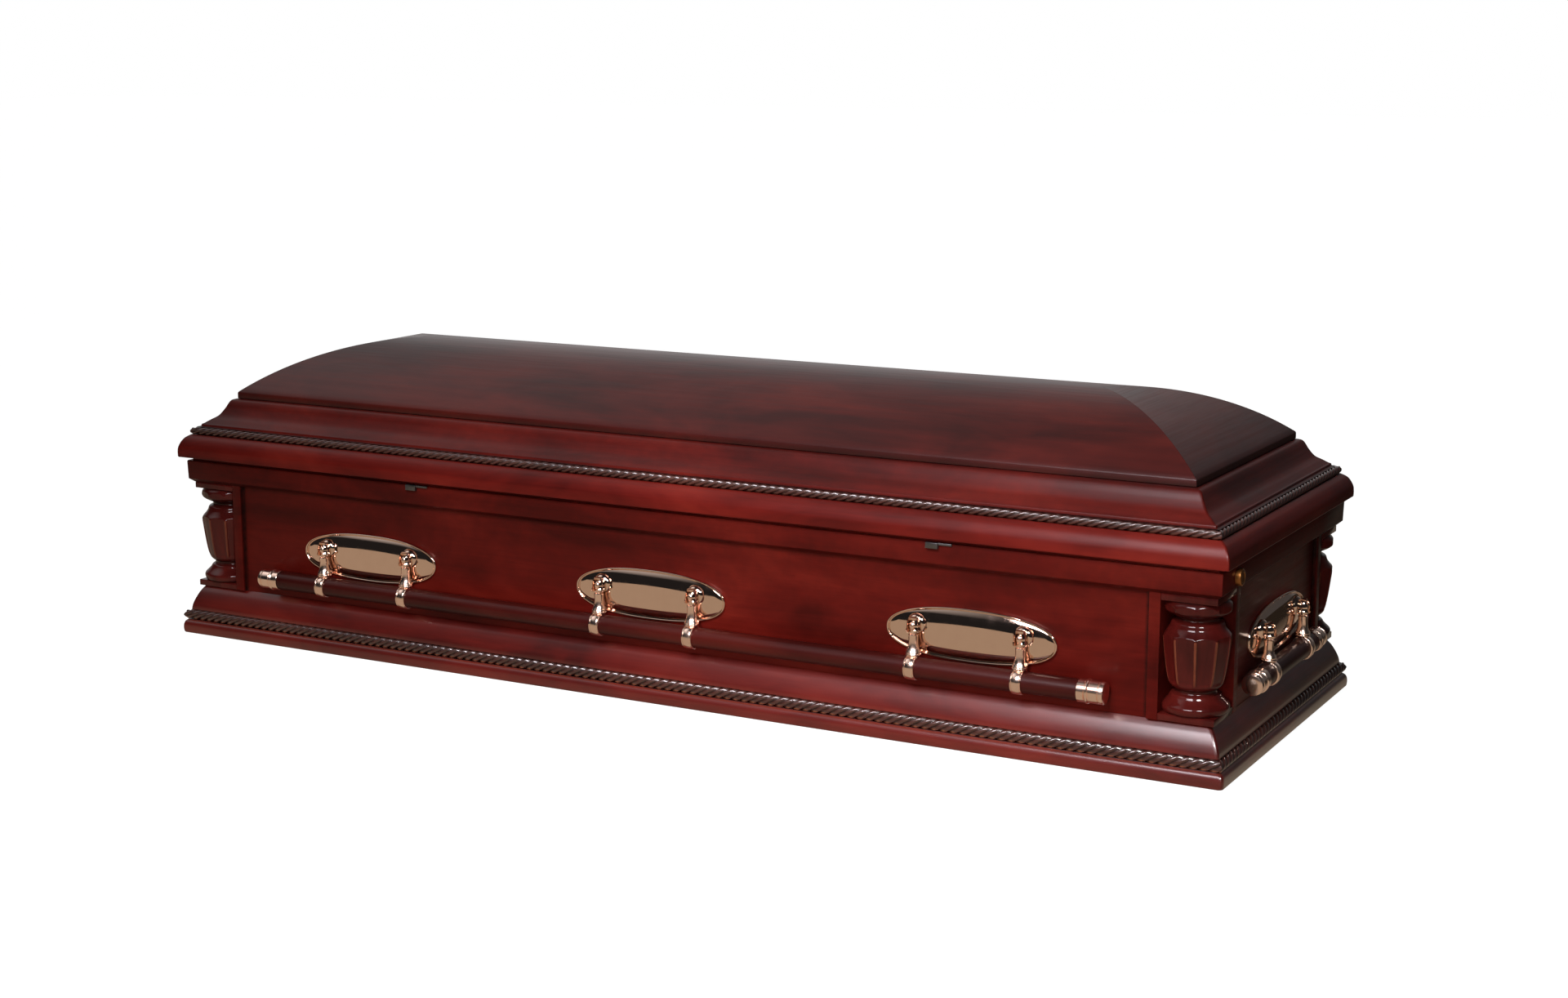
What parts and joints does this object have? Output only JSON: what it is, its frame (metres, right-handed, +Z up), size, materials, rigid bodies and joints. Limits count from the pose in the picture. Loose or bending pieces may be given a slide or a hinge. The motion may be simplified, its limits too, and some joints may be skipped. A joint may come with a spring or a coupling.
{
  "type": "funeral casket",
  "caption": "Hollow mahogany funeral casket with a hinged hipped lid, rope-carved mouldings, urn columns in its corners and swinging bar handles.",
  "frame": {"origin": "on the floor under the middle of the casket", "axes": "+X along the length, +Y from the front side to the hinged back side, +Z up"},
  "size_m": [2.131, 0.724, 0.5653],
  "materials": {
    "mahogany": "red mahogany stain under satin-gloss lacquer",
    "copper": "polished rose copper plate",
    "bronze": "satin bronze",
    "steel": "dark steel"
  },
  "bodies": {
    "casket": {"bottom_board": "mahogany", "wall_front": "mahogany", "wall_right": "mahogany", "wall_back": "mahogany", "wall_left": "mahogany", "base_moulding_front": "mahogany", "base_moulding_right": "mahogany", "base_moulding_back": "mahogany", "base_moulding_left": "mahogany", "column_front_right": "mahogany", "column_back_right": "mahogany", "column_back_left": "mahogany", "column_front_left": "mahogany", "escutcheon_front_1": "copper", "escutcheon_front_2": "copper", "escutcheon_front_3": "copper", "escutcheon_right": "copper", "escutcheon_back_1": "copper", "escutcheon_back_2": "copper", "escutcheon_back_3": "copper", "escutcheon_left": "copper", "lid_catch_left": "steel", "lid_catch_right": "steel", "lock_plug": "bronze", "lid_hinge": "steel"},
    "lid": {"lid_moulding_front": "mahogany", "lid_moulding_right": "mahogany", "lid_moulding_back": "mahogany", "lid_moulding_left": "mahogany", "crown_vault": "mahogany", "crown_end_right": "mahogany", "crown_end_left": "mahogany"},
    "handle_front": {"handle_bar_front": "mahogany", "handle_arm_front_1": "copper", "handle_arm_front_2": "copper", "handle_arm_front_3": "copper", "handle_arm_front_4": "copper", "handle_arm_front_5": "copper", "handle_arm_front_6": "copper", "bar_tip_front_1": "copper", "bar_tip_front_2": "copper"},
    "handle_right": {"handle_bar_right": "mahogany", "handle_arm_right_1": "copper", "handle_arm_right_2": "copper", "bar_tip_right_1": "copper", "bar_tip_right_2": "copper"},
    "handle_back": {"handle_bar_back": "mahogany", "handle_arm_back_1": "copper", "handle_arm_back_2": "copper", "handle_arm_back_3": "copper", "handle_arm_back_4": "copper", "handle_arm_back_5": "copper", "handle_arm_back_6": "copper", "bar_tip_back_1": "copper", "bar_tip_back_2": "copper"},
    "handle_left": {"handle_bar_left": "mahogany", "handle_arm_left_1": "copper", "handle_arm_left_2": "copper", "bar_tip_left_1": "copper", "bar_tip_left_2": "copper"}
  },
  "joints": [
    {"name": "lid_swing", "type": "hinge", "parent": "casket", "child": "lid", "pos_m": [0, 0.3405, 0.3444], "axis": [-1, 0, 0], "range_deg": [0, 95]},
    {"name": "handle_front_swing", "type": "hinge", "parent": "casket", "child": "handle_front", "pos_m": [0, -0.3395, 0.1982], "axis": [-1, 0, 0], "range_deg": [0, 90]},
    {"name": "handle_right_swing", "type": "hinge", "parent": "casket", "child": "handle_right", "pos_m": [1.043, 0, 0.1982], "axis": [0, -1, 0], "range_deg": [0, 90]},
    {"name": "handle_back_swing", "type": "hinge", "parent": "casket", "child": "handle_back", "pos_m": [0, 0.3395, 0.1982], "axis": [1, 0, 0], "range_deg": [0, 90]},
    {"name": "handle_left_swing", "type": "hinge", "parent": "casket", "child": "handle_left", "pos_m": [-1.043, 0, 0.1982], "axis": [0, 1, 0], "range_deg": [0, 90]}
  ]
}
